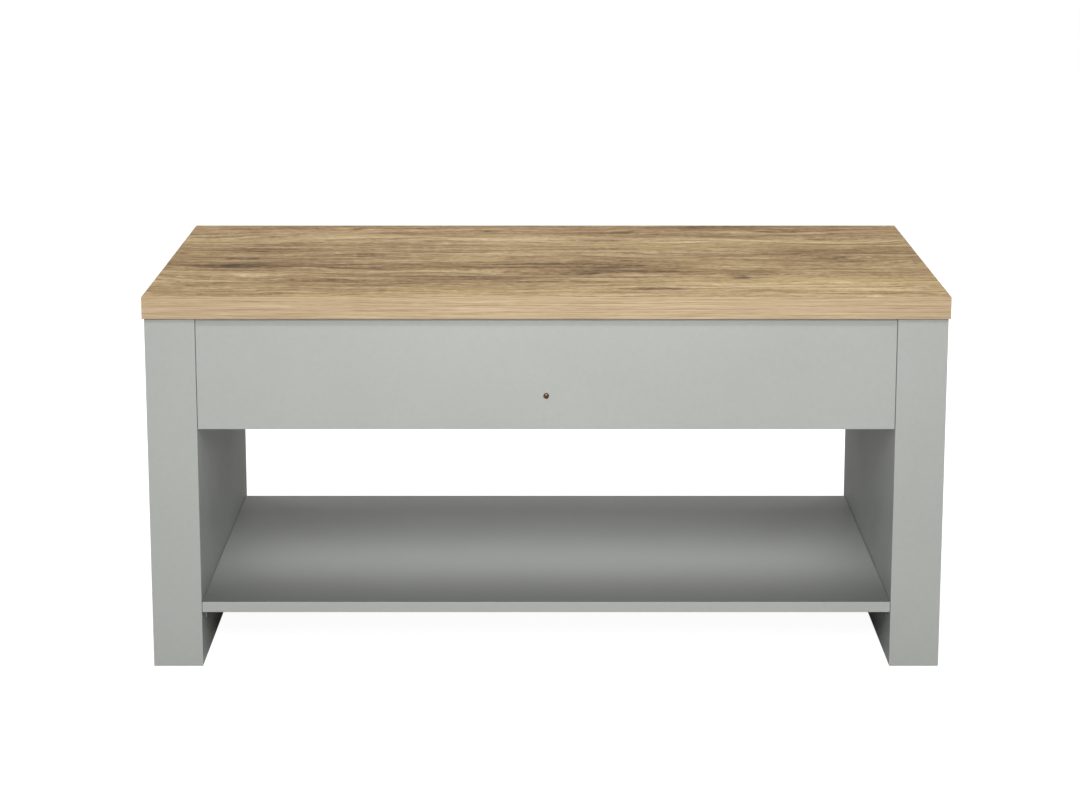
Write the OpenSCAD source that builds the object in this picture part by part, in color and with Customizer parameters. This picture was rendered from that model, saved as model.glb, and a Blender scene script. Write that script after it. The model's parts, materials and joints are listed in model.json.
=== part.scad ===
// Lift top coffee table: a carcass on two hollow slab sides, with a shelf, a storage box
// and a top that rises and comes forward on two four-bar linkages.
// X is to the right, -Y is the front, +Z is up. The origin is on the floor under the middle.

/* [Overall] */
// Width over the top
table_w = 900; // [700:10:1200]
// Depth of the top
table_d = 480; // [440:10:600]
// Height of the closed table
table_h = 432; // [360:2:540]

/* [Top] */
// Thickness of the top board
top_t = 25; // [18:1:32]
// Thickness of the edge bands
band_t = 1; // [0.6:0.1:2]
// How far the top stands out past each side
top_over_x = 2; // [0:0.5:20]
// How far the top stands out past the front and back of the sides
top_over_y = 4; // [0:0.5:20]
// Thickness of the buffers that the closed top rests on
buffer_t = 0.8; // [0.5:0.1:2]

/* [Sides] */
// Thickness of each slab side
side_t = 56; // [44:1:70]
// Thickness of the boards that skin the sides
skin_t = 12; // [9:1:16]
// Width of the stiles and rails inside the sides
frame_w = 40; // [24:1:60]
// Thickness of the glides under the sides
glide_t = 1.5; // [1:0.5:6]

/* [Storage box] */
// Height of the front and back panels
panel_h = 127; // [104:1:180]
// Thickness of the panels, the storage floor and the divider
panel_t = 12; // [12:1:18]
// How far the front and back panels sit behind the faces of the sides
panel_recess = 3; // [0:0.5:20]
// Space above the centre divider, up to the closed top
divider_gap = 16; // [4:1:40]
// Height of the divider's screws above the storage floor
divider_screw_rise = 26.5; // [12:0.5:60]

/* [Shelf] */
// Height of the space under the shelf
shelf_clear = 65; // [40:1:140]
// Thickness of the shelf
shelf_t = 12; // [12:1:22]
// How far the shelf's front edge sits behind the faces of the sides
shelf_front_set = 2; // [0:0.5:20]
// How far the shelf's back edge sits behind the faces of the sides
shelf_back_set = 15; // [0:1:60]
// Length of each leaf of the shelf's angle brackets
leaf_l = 16; // [14:1:30]
// Thickness of the angle brackets
leaf_t = 1.5; // [1:0.5:3]
// How far the middle of each angle bracket is from the shelf's near edge
leaf_inset = 39; // [20:1:120]

/* [Lift mechanism] */
// Distance between the pivots of an arm
arm_l = 230; // [192:1:276]
// Width of an arm
arm_w = 24; // [18:1:26]
// Thickness of an arm
arm_t = 3; // [2:0.5:4]
// How far the arms swing
swing = 108; // [60:1:112]
// Distance between the front and rear pivots of a bracket
link_l = 62; // [56:1:72]
// Slope of the line between those pivots, down towards the rear
link_slope = 26; // [22:1:30]
// Front base pivot, behind the front panel
front_pivot_y = 71; // [66:1:90]
// Front base pivot, above the storage floor
front_pivot_z = 50.2; // [48:0.2:56]
// Front top pivot, below the underside of the top
top_pivot_drop = 25.8; // [20:0.2:32]
// Thickness of the base and top bracket plates
plate_t = 2; // [1.5:0.5:3]
// Width of the top brackets' flange
flange_w = 25; // [20:1:40]
// Thickness of the washers between arms and plates
washer_t = 0.9; // [0.5:0.1:2]
// Radius of the rivets' shanks
rivet_r = 4; // [3:0.5:5]
// Radius of the rivets' heads
rivet_head_r = 6.5; // [6:0.5:8]
// Height of the rivets' heads
rivet_head_h = 2; // [1.5:0.5:2.5]

/* [Springs] */
// Spring pin on the rear arm, from its base pivot
spring_reach = 35; // [28:1:42]
// Fixed spring pin, in front of the front base pivot
anchor_y = 39; // [34:1:46]
// Fixed spring pin, below the front base pivot
anchor_z = 15.2; // [12:0.2:20]
// Radius of the coil, to the middle of its wire
coil_r = 6; // [5:0.5:7]
// Diameter of the wire
wire_d = 2.4; // [1.6:0.2:2.6]
// Number of turns
turns = 18; // [12:1:20]
// Length of each hook, from the pin to the coil
hook_l = 15; // [12:1:20]
// Radius of the spring pins
spring_pin_r = 2; // [1.5:0.5:3]

/* [Fasteners] */
// Radius of the wood dowels
dowel_r = 3; // [2.5:0.5:4]
// Length of the wood dowels
dowel_l = 30; // [20:1:30]
// Radius of the cam locks
cam_r = 6; // [5:0.5:7.5]
// Height of the cam locks
cam_h = 9.5; // [9:0.5:10]
// Distance from a panel's end to the middle of its cam lock
cam_reach = 24; // [20:1:34]
// Radius of the screws that hold the mechanism
screw_r = 2; // [1.5:0.25:2.5]
// Length of those screws below their heads
screw_l = 12; // [10:1:14]
// Radius of the small screws
small_screw_r = 1.75; // [1.25:0.25:2]
// Radius of the glides
glide_r = 10; // [8:1:12]

/* [Fits] */
// Radial clearance of the arms on their rivets
running_fit = 0.05; // [0.02:0.01:0.1]
// Side play between an arm and what it turns against
side_play = 0.1; // [0.05:0.05:0.3]
// Gap at each end of the panels and the shelf
end_gap = 0.4; // [0.2:0.1:1]
// Flat on the edges of the boards
board_arris = 0.4; // [0.1:0.1:1]

/* [Hidden] */
$fn = 48;
eps = 0.01;

// Levels
top_z = table_h - top_t;
side_top_z = top_z - buffer_t;
floor_z = side_top_z - panel_h;
store_z = floor_z + panel_t;

// Widths and depths, measured from the middle
side_x = table_w / 2 - top_over_x;
inner_x = side_x - side_t;
side_y = table_d / 2 - top_over_y;
frame_y = side_y - band_t;
panel_out_y = side_y - panel_recess;
panel_in_y = panel_out_y - panel_t;
panel_mid_y = (panel_out_y + panel_in_y) / 2;
panel_x = inner_x - end_gap;
core_w = side_t - 2 * skin_t;
side_mid_x = side_x - side_t / 2;
shelf_front_y = -side_y + shelf_front_set;
shelf_back_y = side_y - shelf_back_set;
shelf_top_z = shelf_clear + shelf_t;
floor_mid_z = floor_z + panel_t / 2;

// Pivots of one linkage, each [y, z], closed
base_front = [-panel_in_y + front_pivot_y, store_z + front_pivot_z];
base_rear = base_front + link_l * [cos(link_slope), -sin(link_slope)];
rest_angle = asin((top_z - top_pivot_drop - base_front[1]) / arm_l);
arm_run = arm_l * [cos(rest_angle), sin(rest_angle)];
top_front = base_front + arm_run;
top_rear = base_rear + arm_run;
open_angle = rest_angle + swing;

// Layers of one linkage, out from the box: each is the lowest x of that layer on the right side
base_plate_x = inner_x - plate_t;
base_washer_x = base_plate_x - washer_t;
arm_x = base_washer_x - side_play - arm_t;
top_washer_x = arm_x - side_play - washer_t;
top_plate_x = top_washer_x - plate_t;
flange_x = top_plate_x + plate_t - flange_w;

// Springs: the plane of the coils leaves them clear of the rivets' heads
spring_x = top_plate_x - rivet_head_h - coil_r - wire_d / 2 - 1.4;
spring_anchor = base_front + [-anchor_y, -anchor_z];
spring_hold = base_rear + spring_reach * [cos(rest_angle), sin(rest_angle)];
spring_run = spring_hold - spring_anchor;
spring_l = norm(spring_run);
spring_tilt = atan2(spring_run[1], spring_run[0]);
hook_r = spring_pin_r + 0.4 + wire_d / 2;
pin_head_r = spring_pin_r + 1.4;
pin_head_h = 1.5;

// Stops: the front arm lands on a sleeved pin when the top is fully out
sleeve_r = 5;
stop_pin_r = 3;
stop_gap = 0.3;
stop_along = 25;
stop_off = arm_w / 2 + sleeve_r + stop_gap;
stop_pin = base_front + stop_along * [cos(open_angle), sin(open_angle)]
    + stop_off * [-sin(open_angle), cos(open_angle)];

// Outlines of the plates, each a list of [y, z] corners, counter-clockwise
plate_low = store_z + 3;
plate_high = stop_pin[1] + sleeve_r + 5.6;
plate_front = spring_anchor[0] - 11;
plate_rear = base_rear[0] + 118;
base_plate_corners = [
    [plate_front, plate_low], [plate_rear, plate_low], [plate_rear, plate_low + 18],
    [base_front[0] + 32, plate_high], [plate_front, plate_high]
];
bracket_front = top_front[0] - 180;
bracket_rear = top_rear[0] + 24;
bracket_low = top_rear[1] - 16;
top_plate_corners = [
    [bracket_front, top_z - 22], [top_rear[0] - 20, bracket_low], [top_rear[0] + 16, bracket_low],
    [bracket_rear, top_rear[1]], [bracket_rear, top_z], [bracket_front, top_z]
];
plate_corner_r = 6;

// Screws of the plates: base screws as [y, z], top screws as y
base_screws = [
    [spring_anchor[0] - 2, plate_low + 8], [spring_anchor[0] - 2, spring_anchor[1] + 18],
    [base_rear[0] + 50, plate_low + 6], [plate_rear - 9, plate_low + 8]
];
top_screws = [bracket_front + 12, bracket_front + 80, top_front[0] - 28, bracket_rear - 12];
screw_head_r = 4;
screw_head_h = 2;
top_screw_x = flange_x + (flange_w - plate_t) / 2 - 2;

// Dowels and cams in the ends of the panels: [y, z] and, for cams, the turn of their open face
end_dowels = [
    [-panel_mid_y, floor_z + 28], [panel_mid_y, floor_z + 28],
    [-panel_in_y + 70, floor_mid_z], [panel_in_y - 70, floor_mid_z]
];
end_cams = [
    [-panel_mid_y, side_top_z - 34, -90], [panel_mid_y, side_top_z - 34, 90], [0, floor_mid_z, 180]
];
dowel_in_skin = skin_t - 2;
divider_dowels = [-120, 120];
divider_dowel_l = 20;
divider_dowel_in_floor = panel_t - 4;
bolt_thread_r = 3;
bolt_shank_r = 2.2;
bolt_head_r = 2.9;
bolt_bore_r = 2.5;
bolt_head_l = 4;

// Divider
divider_top_z = top_z - divider_gap;
divider_screw_z = store_z + divider_screw_rise;
divider_screw_l = 30;
divider_head_r = 3;
divider_head_h = 2;
divider_sink = 0.6;

// Shelf brackets
leaf_centres = [shelf_front_y + leaf_inset, shelf_back_y - leaf_inset];
small_head_r = 3.2;
small_head_h = 1.6;
small_screw_l = 10;

// Glides and buffers
glide_y = frame_y - frame_w * 0.7;
glide_centres_y = [-glide_y, glide_y];
nail_r = 1;
nail_head_z = 0.2;
nail_head_h = 0.5;
nail_l = 14;
buffer_r = 5;

// ---- Shared shapes ----

module left_side() {
    mirror([1, 0, 0]) children();
}

module both_sides() {
    children();
    left_side() children();
}

module arris_rect(w, h, c) {
    polygon([[c, 0], [w - c, 0], [w, c], [w, h - c], [w - c, h], [c, h], [0, h - c], [0, c]]);
}

// A board between two corners, with a small flat on every edge
module board(low, high, arris = board_arris) {
    size = high - low;
    translate(low) intersection() {
        linear_extrude(size[2]) arris_rect(size[0], size[1], arris);
        translate([0, size[1], 0]) rotate([90, 0, 0])
            linear_extrude(size[1]) arris_rect(size[0], size[2], arris);
        rotate([90, 0, 90]) linear_extrude(size[0]) arris_rect(size[1], size[2], arris);
    }
}

// A flat piece whose outline is drawn in [y, z], standing at x
module upright(x, thickness) {
    translate([x, 0, 0]) rotate([90, 0, 90]) linear_extrude(thickness) children();
}

// A round bar along X from x, through [y, z]
module bar_x(x, length, at, r) {
    upright(x, length) translate(at) circle(r);
}

function unit(v) = v / norm(v);

// A convex outline with round corners, as its tangent points and one circle at each corner
module round_outline(corners, r) {
    n = len(corners);
    before = [for (i = [0:n - 1]) unit(corners[(i + n - 1) % n] - corners[i])];
    after = [for (i = [0:n - 1]) unit(corners[(i + 1) % n] - corners[i])];
    half = [for (i = [0:n - 1]) acos(before[i] * after[i]) / 2];
    polygon([for (i = [0:n - 1]) each [
        corners[i] + before[i] * r / tan(half[i]),
        corners[i] + after[i] * r / tan(half[i])
    ]]);
    for (i = [0:n - 1])
        translate(corners[i] + unit(before[i] + after[i]) * r / sin(half[i])) circle(r);
}

// A pan-head screw: the head stands above z = 0 and the shank goes down to a point
module screw(r, length, head_r, head_h) {
    tip = 2.5 * r;
    slot = head_r * 0.3;
    translate([0, 0, -length]) cylinder(r1 = 0.2, r2 = r, h = tip);
    translate([0, 0, tip - length]) cylinder(r = r, h = length - tip);
    difference() {
        rotate_extrude() polygon([
            [0, 0], [head_r, 0], [head_r, head_h * 0.4], [head_r * 0.85, head_h * 0.75],
            [head_r * 0.6, head_h], [0, head_h]
        ]);
        for (turn = [0, 90]) rotate(turn)
            translate([-head_r * 0.6, -slot / 2, head_h * 0.35]) cube([head_r * 1.2, slot, head_h]);
    }
}

// A rivet's head: its flat face is at x = 0 and its crown points to -X
module rivet_head() {
    crown_r = rivet_head_r * 0.6;
    rotate([0, -90, 0]) rotate_extrude() polygon([
        [0, 0], [rivet_head_r, 0], [rivet_head_r, rivet_head_h * 0.35],
        [crown_r, rivet_head_h], [0, rivet_head_h]
    ]);
}

// ---- Top ----

module top_board() {
    color("peru") difference() {
        board(
            [-table_w / 2 + band_t, -table_d / 2 + band_t, top_z],
            [table_w / 2 - band_t, table_d / 2 - band_t, table_h],
            0.2
        );
        both_sides() for (y = top_screws)
            translate([top_screw_x, y, top_z - eps]) cylinder(r = screw_r, h = screw_l - plate_t + eps);
    }
}

module top_front_edge_band() {
    color("burlywood") board(
        [-table_w / 2, -table_d / 2, top_z], [table_w / 2, -table_d / 2 + band_t, table_h], 0.25
    );
}

module top_back_edge_band() {
    color("burlywood") board(
        [-table_w / 2, table_d / 2 - band_t, top_z], [table_w / 2, table_d / 2, table_h], 0.25
    );
}

module top_right_edge_band() {
    color("burlywood") board(
        [table_w / 2 - band_t, -table_d / 2 + band_t, top_z],
        [table_w / 2, table_d / 2 - band_t, table_h],
        0.25
    );
}

module top_left_edge_band() {
    left_side() top_right_edge_band();
}

// ---- Slab sides, drawn on the right and mirrored to the left ----

module right_outer_skin() {
    color("darkgray") board([side_x - skin_t, -frame_y, glide_t], [side_x, frame_y, side_top_z]);
}

module right_inner_skin() {
    color("darkgray") difference() {
        board([inner_x, -frame_y, glide_t], [inner_x + skin_t, frame_y, side_top_z]);
        for (at = end_dowels) bar_x(inner_x - eps, dowel_in_skin + eps, at, dowel_r);
        for (cam = end_cams) bar_x(inner_x - eps, dowel_in_skin + eps, [cam[0], cam[1]], bolt_thread_r);
        for (at = base_screws) bar_x(inner_x - eps, screw_l - plate_t + eps, at, screw_r);
        for (y = leaf_centres) bar_x(
            inner_x - eps, small_screw_l - leaf_t + eps, [y, shelf_clear - leaf_l / 2 - 1], small_screw_r
        );
    }
}

// A member of the frame between the two skins
module frame_member(low_y, low_z, high_y, high_z) {
    color("tan") board(
        [inner_x + skin_t, low_y, low_z], [inner_x + skin_t + core_w, high_y, high_z], 0.2
    );
}

module nail_hole(y) {
    translate([side_mid_x, y, glide_t - eps]) cylinder(r = nail_r, h = nail_l + eps);
}

module right_front_stile() {
    difference() {
        frame_member(-frame_y, glide_t, -frame_y + frame_w, side_top_z);
        nail_hole(-glide_y);
    }
}

module right_back_stile() {
    difference() {
        frame_member(frame_y - frame_w, glide_t, frame_y, side_top_z);
        nail_hole(glide_y);
    }
}

module right_top_rail() {
    frame_member(-frame_y + frame_w, side_top_z - frame_w, frame_y - frame_w, side_top_z);
}

module right_shelf_rail() {
    mid = shelf_clear - leaf_l / 2;
    frame_member(-frame_y + frame_w, mid - frame_w / 4, frame_y - frame_w, mid + 3 * frame_w / 4);
}

module right_bottom_rail() {
    frame_member(-frame_y + frame_w, glide_t, frame_y - frame_w, glide_t + frame_w * 0.75);
}

module right_front_edge_band() {
    color("darkgray") board([inner_x, -side_y, glide_t], [side_x, -frame_y, side_top_z], 0.3);
}

module right_back_edge_band() {
    color("darkgray") board([inner_x, frame_y, glide_t], [side_x, side_y, side_top_z], 0.3);
}

module left_outer_skin() {
    left_side() right_outer_skin();
}

module left_inner_skin() {
    left_side() right_inner_skin();
}

module left_front_stile() {
    left_side() right_front_stile();
}

module left_back_stile() {
    left_side() right_back_stile();
}

module left_top_rail() {
    left_side() right_top_rail();
}

module left_shelf_rail() {
    left_side() right_shelf_rail();
}

module left_bottom_rail() {
    left_side() right_bottom_rail();
}

module left_front_edge_band() {
    left_side() right_front_edge_band();
}

module left_back_edge_band() {
    left_side() right_back_edge_band();
}

// ---- Joints in the panels' ends ----

// The cuts for one cam and its bolt, at the panel's end face, with the cam opening towards +Z
module cam_cut() {
    translate([-cam_reach, 0, panel_t / 2 - cam_h]) cylinder(r = cam_r, h = cam_h + eps);
    translate([-cam_reach, 0, 0]) rotate([0, 90, 0]) cylinder(r = bolt_bore_r, h = cam_reach + eps);
}

// Where the right end's cam sits
module at_cam(cam) {
    translate([panel_x, cam[0], cam[1]]) rotate([cam[2], 0, 0]) children();
}

module end_cuts(cams, dowels) {
    both_sides() {
        for (cam = cams) at_cam(cam) cam_cut();
        for (at = dowels) bar_x(
            inner_x + dowel_in_skin - dowel_l, dowel_l - dowel_in_skin, at, dowel_r
        );
    }
}

module wood_dowels() {
    color("burlywood") {
        both_sides() for (at = end_dowels) bar_x(inner_x + dowel_in_skin - dowel_l, dowel_l, at, dowel_r);
        for (y = divider_dowels)
            translate([0, y, store_z - divider_dowel_in_floor]) cylinder(r = dowel_r, h = divider_dowel_l);
    }
}

module cam_bolts() {
    neck = cam_reach + end_gap - bolt_head_l / 2;
    color("silver") both_sides() for (cam = end_cams) translate([inner_x, 0, 0]) {
        bar_x(0, dowel_in_skin, [cam[0], cam[1]], bolt_thread_r);
        bar_x(-neck, neck, [cam[0], cam[1]], bolt_shank_r);
        bar_x(-neck - bolt_head_l, bolt_head_l, [cam[0], cam[1]], bolt_head_r);
    }
}

module cam_lock() {
    slot = 2 * (bolt_head_r + 0.2);
    drive = cam_r * 0.28;
    difference() {
        translate([-cam_reach, 0, panel_t / 2 - cam_h]) cylinder(r = cam_r, h = cam_h);
        translate([-cam_reach - bolt_head_l, -slot / 2, -bolt_head_r - 0.1 - panel_t])
            cube([cam_r + bolt_head_l + 1, slot, 2 * bolt_head_r + 0.2 + panel_t]);
        translate([-cam_reach, 0, panel_t / 2 - 1.4]) for (turn = [0, 90]) rotate(turn)
            translate([-cam_r * 0.6, -drive / 2, 0]) cube([cam_r * 1.2, drive, 2]);
    }
}

module cam_locks() {
    color("gray") both_sides() for (cam = end_cams) at_cam(cam) cam_lock();
}

// ---- Storage box ----

module front_panel() {
    color("lightgray") difference() {
        board([-panel_x, -panel_out_y, floor_z], [panel_x, -panel_in_y, side_top_z]);
        end_cuts([end_cams[0]], [end_dowels[0]]);
        translate([0, -panel_out_y - eps, divider_screw_z]) rotate([-90, 0, 0]) {
            cylinder(r = small_screw_r, h = panel_t + 2 * eps);
            cylinder(r = divider_head_r + 0.6, h = divider_sink + eps);
        }
    }
}

module back_panel() {
    color("lightgray") difference() {
        board([-panel_x, panel_in_y, floor_z], [panel_x, panel_out_y, side_top_z]);
        end_cuts([end_cams[1]], [end_dowels[1]]);
        translate([0, panel_in_y - eps, divider_screw_z]) rotate([-90, 0, 0])
            cylinder(r = small_screw_r, h = panel_t + 2 * eps);
    }
}

module storage_floor() {
    color("lightgray") difference() {
        board([-panel_x, -panel_in_y, floor_z], [panel_x, panel_in_y, store_z]);
        end_cuts([end_cams[2]], [end_dowels[2], end_dowels[3]]);
        for (y = divider_dowels) translate([0, y, store_z - divider_dowel_in_floor])
            cylinder(r = dowel_r, h = divider_dowel_in_floor + eps);
    }
}

module centre_divider() {
    bite = divider_screw_l - panel_t;
    color("lightgray") difference() {
        board([-panel_t / 2, -panel_in_y, store_z], [panel_t / 2, panel_in_y, divider_top_z]);
        for (y = divider_dowels) translate([0, y, store_z - eps])
            cylinder(r = dowel_r, h = divider_dowel_l - divider_dowel_in_floor + eps);
        for (turn = [0, 180]) rotate(turn) translate([0, -panel_in_y - eps, divider_screw_z])
            rotate([-90, 0, 0]) cylinder(r = small_screw_r, h = bite + eps);
    }
}

module divider_front_screw() {
    slot = 0.8;
    color("goldenrod") translate([0, -panel_out_y + divider_sink, divider_screw_z]) rotate([90, 0, 0]) {
        translate([0, 0, divider_sink - divider_screw_l])
            cylinder(r = small_screw_r, h = divider_screw_l - divider_sink);
        difference() {
            intersection() {
                cylinder(r = divider_head_r, h = divider_head_h);
                translate([0, 0, divider_head_h - divider_head_r * 1.6]) sphere(r = divider_head_r * 1.6);
            }
            translate([-divider_head_r, -slot / 2, divider_head_h - 0.7])
                cube([2 * divider_head_r, slot, 1]);
        }
    }
}

module divider_back_screw() {
    color("silver") translate([0, panel_out_y, divider_screw_z]) rotate([-90, 0, 0])
        screw(small_screw_r, divider_screw_l, small_head_r, small_head_h);
}

// ---- Shelf ----

module shelf() {
    color("lightgray") difference() {
        board([-panel_x, shelf_front_y + band_t, shelf_clear], [panel_x, shelf_back_y, shelf_top_z]);
        both_sides() for (y = leaf_centres) translate([inner_x - leaf_l * 0.6, y, shelf_clear - eps])
            cylinder(r = small_screw_r, h = small_screw_l - leaf_t + eps);
    }
}

module shelf_front_edge_band() {
    color("gray") board(
        [-panel_x, shelf_front_y, shelf_clear], [panel_x, shelf_front_y + band_t, shelf_top_z], 0.3
    );
}

module shelf_brackets() {
    color("silver") both_sides() for (y = leaf_centres) difference() {
        union() {
            translate([inner_x - leaf_t, y - leaf_l / 2, shelf_clear - leaf_l]) cube([leaf_t, leaf_l, leaf_l]);
            translate([inner_x - leaf_l, y - leaf_l / 2, shelf_clear - leaf_t]) cube([leaf_l, leaf_l, leaf_t]);
        }
        bar_x(inner_x - leaf_l, 2 * leaf_l, [y, shelf_clear - leaf_l / 2 - 1], small_screw_r);
        translate([inner_x - leaf_l * 0.6, y, shelf_clear - leaf_l]) cylinder(r = small_screw_r, h = 2 * leaf_l);
    }
}

module shelf_bracket_screws() {
    color("silver") both_sides() for (y = leaf_centres) {
        translate([inner_x - leaf_t, y, shelf_clear - leaf_l / 2 - 1]) rotate([0, -90, 0])
            screw(small_screw_r, small_screw_l, small_head_r, small_head_h);
        translate([inner_x - leaf_l * 0.6, y, shelf_clear - leaf_t]) rotate([180, 0, 0])
            screw(small_screw_r, small_screw_l, small_head_r, small_head_h);
    }
}

// ---- Feet and buffers ----

module floor_glides() {
    color("black") both_sides() for (y = glide_centres_y) translate([side_mid_x, y, 0]) difference() {
        rotate_extrude() polygon([
            [0, 0], [glide_r - 1, 0], [glide_r, glide_t * 0.6], [glide_r, glide_t], [0, glide_t]
        ]);
        translate([0, 0, -eps]) cylinder(r = nail_r + 2.2, h = nail_head_z + nail_head_h + eps);
        cylinder(r = nail_r, h = glide_t + eps);
    }
}

module glide_nails() {
    color("silver") both_sides() for (y = glide_centres_y) translate([side_mid_x, y, nail_head_z]) {
        cylinder(r = nail_r + 2, h = nail_head_h);
        cylinder(r = nail_r, h = glide_t - nail_head_z + nail_l);
    }
}

module top_buffers() {
    color("whitesmoke") both_sides() for (y = glide_centres_y)
        translate([side_mid_x, y, side_top_z]) cylinder(r = buffer_r, h = buffer_t);
}

// ---- Lift mechanism: what stays with the carcass ----

module right_base_bracket() {
    color("dimgray") upright(base_plate_x, plate_t) difference() {
        round_outline(base_plate_corners, plate_corner_r);
        for (at = base_screws) translate(at) circle(screw_r);
        for (at = [base_front, base_rear]) translate(at) circle(rivet_r);
        translate(spring_anchor) circle(spring_pin_r);
        translate(stop_pin) circle(stop_pin_r);
    }
}

module left_base_bracket() {
    left_side() right_base_bracket();
}

module base_bracket_screws() {
    color("silver") both_sides() for (at = base_screws) translate([base_plate_x, at[0], at[1]])
        rotate([0, -90, 0]) screw(screw_r, screw_l, screw_head_r, screw_head_h);
}

module base_pivot_rivets() {
    color("silver") both_sides() for (at = [base_front, base_rear]) {
        bar_x(arm_x - side_play, inner_x - arm_x + side_play, at, rivet_r);
        translate([arm_x - side_play, at[0], at[1]]) rivet_head();
    }
}

module base_pivot_washers() {
    color("whitesmoke") both_sides() for (at = [base_front, base_rear]) upright(base_washer_x, washer_t)
        translate(at) difference() {
            circle(rivet_head_r + 2);
            circle(rivet_r);
        }
}

// A pin that stands out of a plate at x and carries a spring's hook
module spring_pin(x, at) {
    tip_x = spring_x - wire_d - 1;
    bar_x(tip_x, x - tip_x, at, spring_pin_r);
    bar_x(tip_x - pin_head_h, pin_head_h, at, pin_head_r);
}

module spring_anchor_pins() {
    color("silver") both_sides() spring_pin(inner_x, spring_anchor);
}

module stop_pins() {
    color("silver") both_sides() {
        bar_x(arm_x, inner_x - arm_x, stop_pin, stop_pin_r);
        bar_x(arm_x - 0.8, 0.8, stop_pin, stop_pin_r + 1);
    }
}

module stop_sleeves() {
    color("black") both_sides() upright(arm_x, base_plate_x - arm_x) translate(stop_pin) difference() {
        circle(sleeve_r);
        circle(stop_pin_r);
    }
}

// ---- Lift mechanism: arms ----

// An arm between two pivots, drawn in [y, z]
module arm_outline(from, to) {
    translate(from) rotate(atan2(to[1] - from[1], to[0] - from[0])) {
        translate([0, -arm_w / 2]) square([norm(to - from), arm_w]);
        for (along = [0, norm(to - from)]) translate([along, 0]) circle(arm_w / 2);
    }
}

module right_rear_arm() {
    color("slategray") upright(arm_x, arm_t) difference() {
        arm_outline(base_rear, top_rear);
        for (at = [base_rear, top_rear]) translate(at) circle(rivet_r + running_fit);
        translate(spring_hold) circle(spring_pin_r);
    }
}

module right_front_arm() {
    color("slategray") upright(arm_x, arm_t) difference() {
        arm_outline(base_front, top_front);
        for (at = [base_front, top_front]) translate(at) circle(rivet_r + running_fit);
    }
}

module left_rear_arm() {
    left_side() right_rear_arm();
}

module left_front_arm() {
    left_side() right_front_arm();
}

module right_arm_spring_pin() {
    color("silver") spring_pin(arm_x + arm_t, spring_hold);
}

module left_arm_spring_pin() {
    left_side() right_arm_spring_pin();
}

// ---- Lift mechanism: what rises with the top ----

module right_top_bracket() {
    color("dimgray") difference() {
        union() {
            upright(top_plate_x, plate_t) difference() {
                intersection() {
                    round_outline(top_plate_corners, plate_corner_r);
                    translate([bracket_front, bracket_low])
                        square([bracket_rear - bracket_front, top_z - plate_t - bracket_low]);
                }
                for (at = [top_front, top_rear]) translate(at) circle(rivet_r);
            }
            translate([flange_x, bracket_front + plate_corner_r, top_z - plate_t])
                cube([flange_w, bracket_rear - bracket_front - 2 * plate_corner_r, plate_t]);
        }
        for (y = top_screws)
            translate([top_screw_x, y, top_z - 2 * plate_t]) cylinder(r = screw_r, h = 3 * plate_t);
    }
}

module left_top_bracket() {
    left_side() right_top_bracket();
}

module top_bracket_screws() {
    color("silver") both_sides() for (y = top_screws) translate([top_screw_x, y, top_z - plate_t])
        rotate([180, 0, 0]) screw(screw_r, screw_l, screw_head_r, screw_head_h);
}

module top_pivot_rivets() {
    outer_x = arm_x + arm_t + side_play;
    color("silver") both_sides() for (at = [top_front, top_rear]) {
        bar_x(top_plate_x, outer_x - top_plate_x, at, rivet_r);
        translate([top_plate_x, at[0], at[1]]) rivet_head();
        translate([outer_x, at[0], at[1]]) mirror([1, 0, 0]) rivet_head();
    }
}

module top_pivot_washers() {
    color("whitesmoke") both_sides() for (at = [top_front, top_rear]) upright(top_washer_x, washer_t)
        translate(at) difference() {
            circle(rivet_head_r + 2);
            circle(rivet_r);
        }
}

// ---- Springs: a round wire swept along hook, coil and hook ----

wire_sides = 6;
turn_steps = 10;
fillet_r = 3;

// A place on the coil's cylinder, at a distance u from the fixed pin and a turn phi
function on_coil(u, phi) = [coil_r * sin(phi), u, coil_r * cos(phi)];
fillet_turn = fillet_r / coil_r * 180 / PI;

hook_path = concat(
    [for (a = [270:-30:90]) [0, hook_r * cos(a), hook_r * sin(a)]],
    [for (s = [0.25:0.25:1]) [
        0, s * (hook_l - fillet_r), hook_r + (coil_r - hook_r) * (1 - cos(180 * s)) / 2
    ]],
    [for (b = [30:30:90]) on_coil(
        hook_l - fillet_r * (1 - sin(b)), fillet_turn * (1 - cos(b))
    )]
);
coil_steps = turns * turn_steps;
coil_path = [for (i = [1:coil_steps - 1]) on_coil(
    hook_l + (spring_l - 2 * hook_l) * i / coil_steps,
    fillet_turn + (360 * turns - 2 * fillet_turn) * i / coil_steps
)];
hook_n = len(hook_path);
far_hook_path = [for (i = [hook_n - 1:-1:0])
    [-hook_path[i][0], spring_l - hook_path[i][1], hook_path[i][2]]];
spring_path = concat(hook_path, coil_path, far_hook_path);

module swept_wire(path, r) {
    n = len(path);
    along = [for (i = [0:n - 1]) unit(path[min(i + 1, n - 1)] - path[max(i - 1, 0)])];
    across = [for (i = 0, v = [1, 0, 0]; i < n;
        i = i + 1, v = i < n ? unit(v - (v * along[i]) * along[i]) : v) v];
    rings = [for (i = [0:n - 1]) for (j = [0:wire_sides - 1])
        path[i] + r * cos(j * 360 / wire_sides) * across[i]
            + r * sin(j * 360 / wire_sides) * cross(along[i], across[i])];
    walls = [for (i = [0:n - 2]) for (j = [0:wire_sides - 1])
        let (k = (j + 1) % wire_sides, here = i * wire_sides, next = here + wire_sides)
        each [[here + j, next + j, next + k], [here + j, next + k, here + k]]];
    near_cap = [for (j = [0:wire_sides - 1]) j];
    far_cap = [for (j = [wire_sides - 1:-1:0]) (n - 1) * wire_sides + j];
    polyhedron(rings, concat([near_cap], walls, [far_cap]));
}

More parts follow.
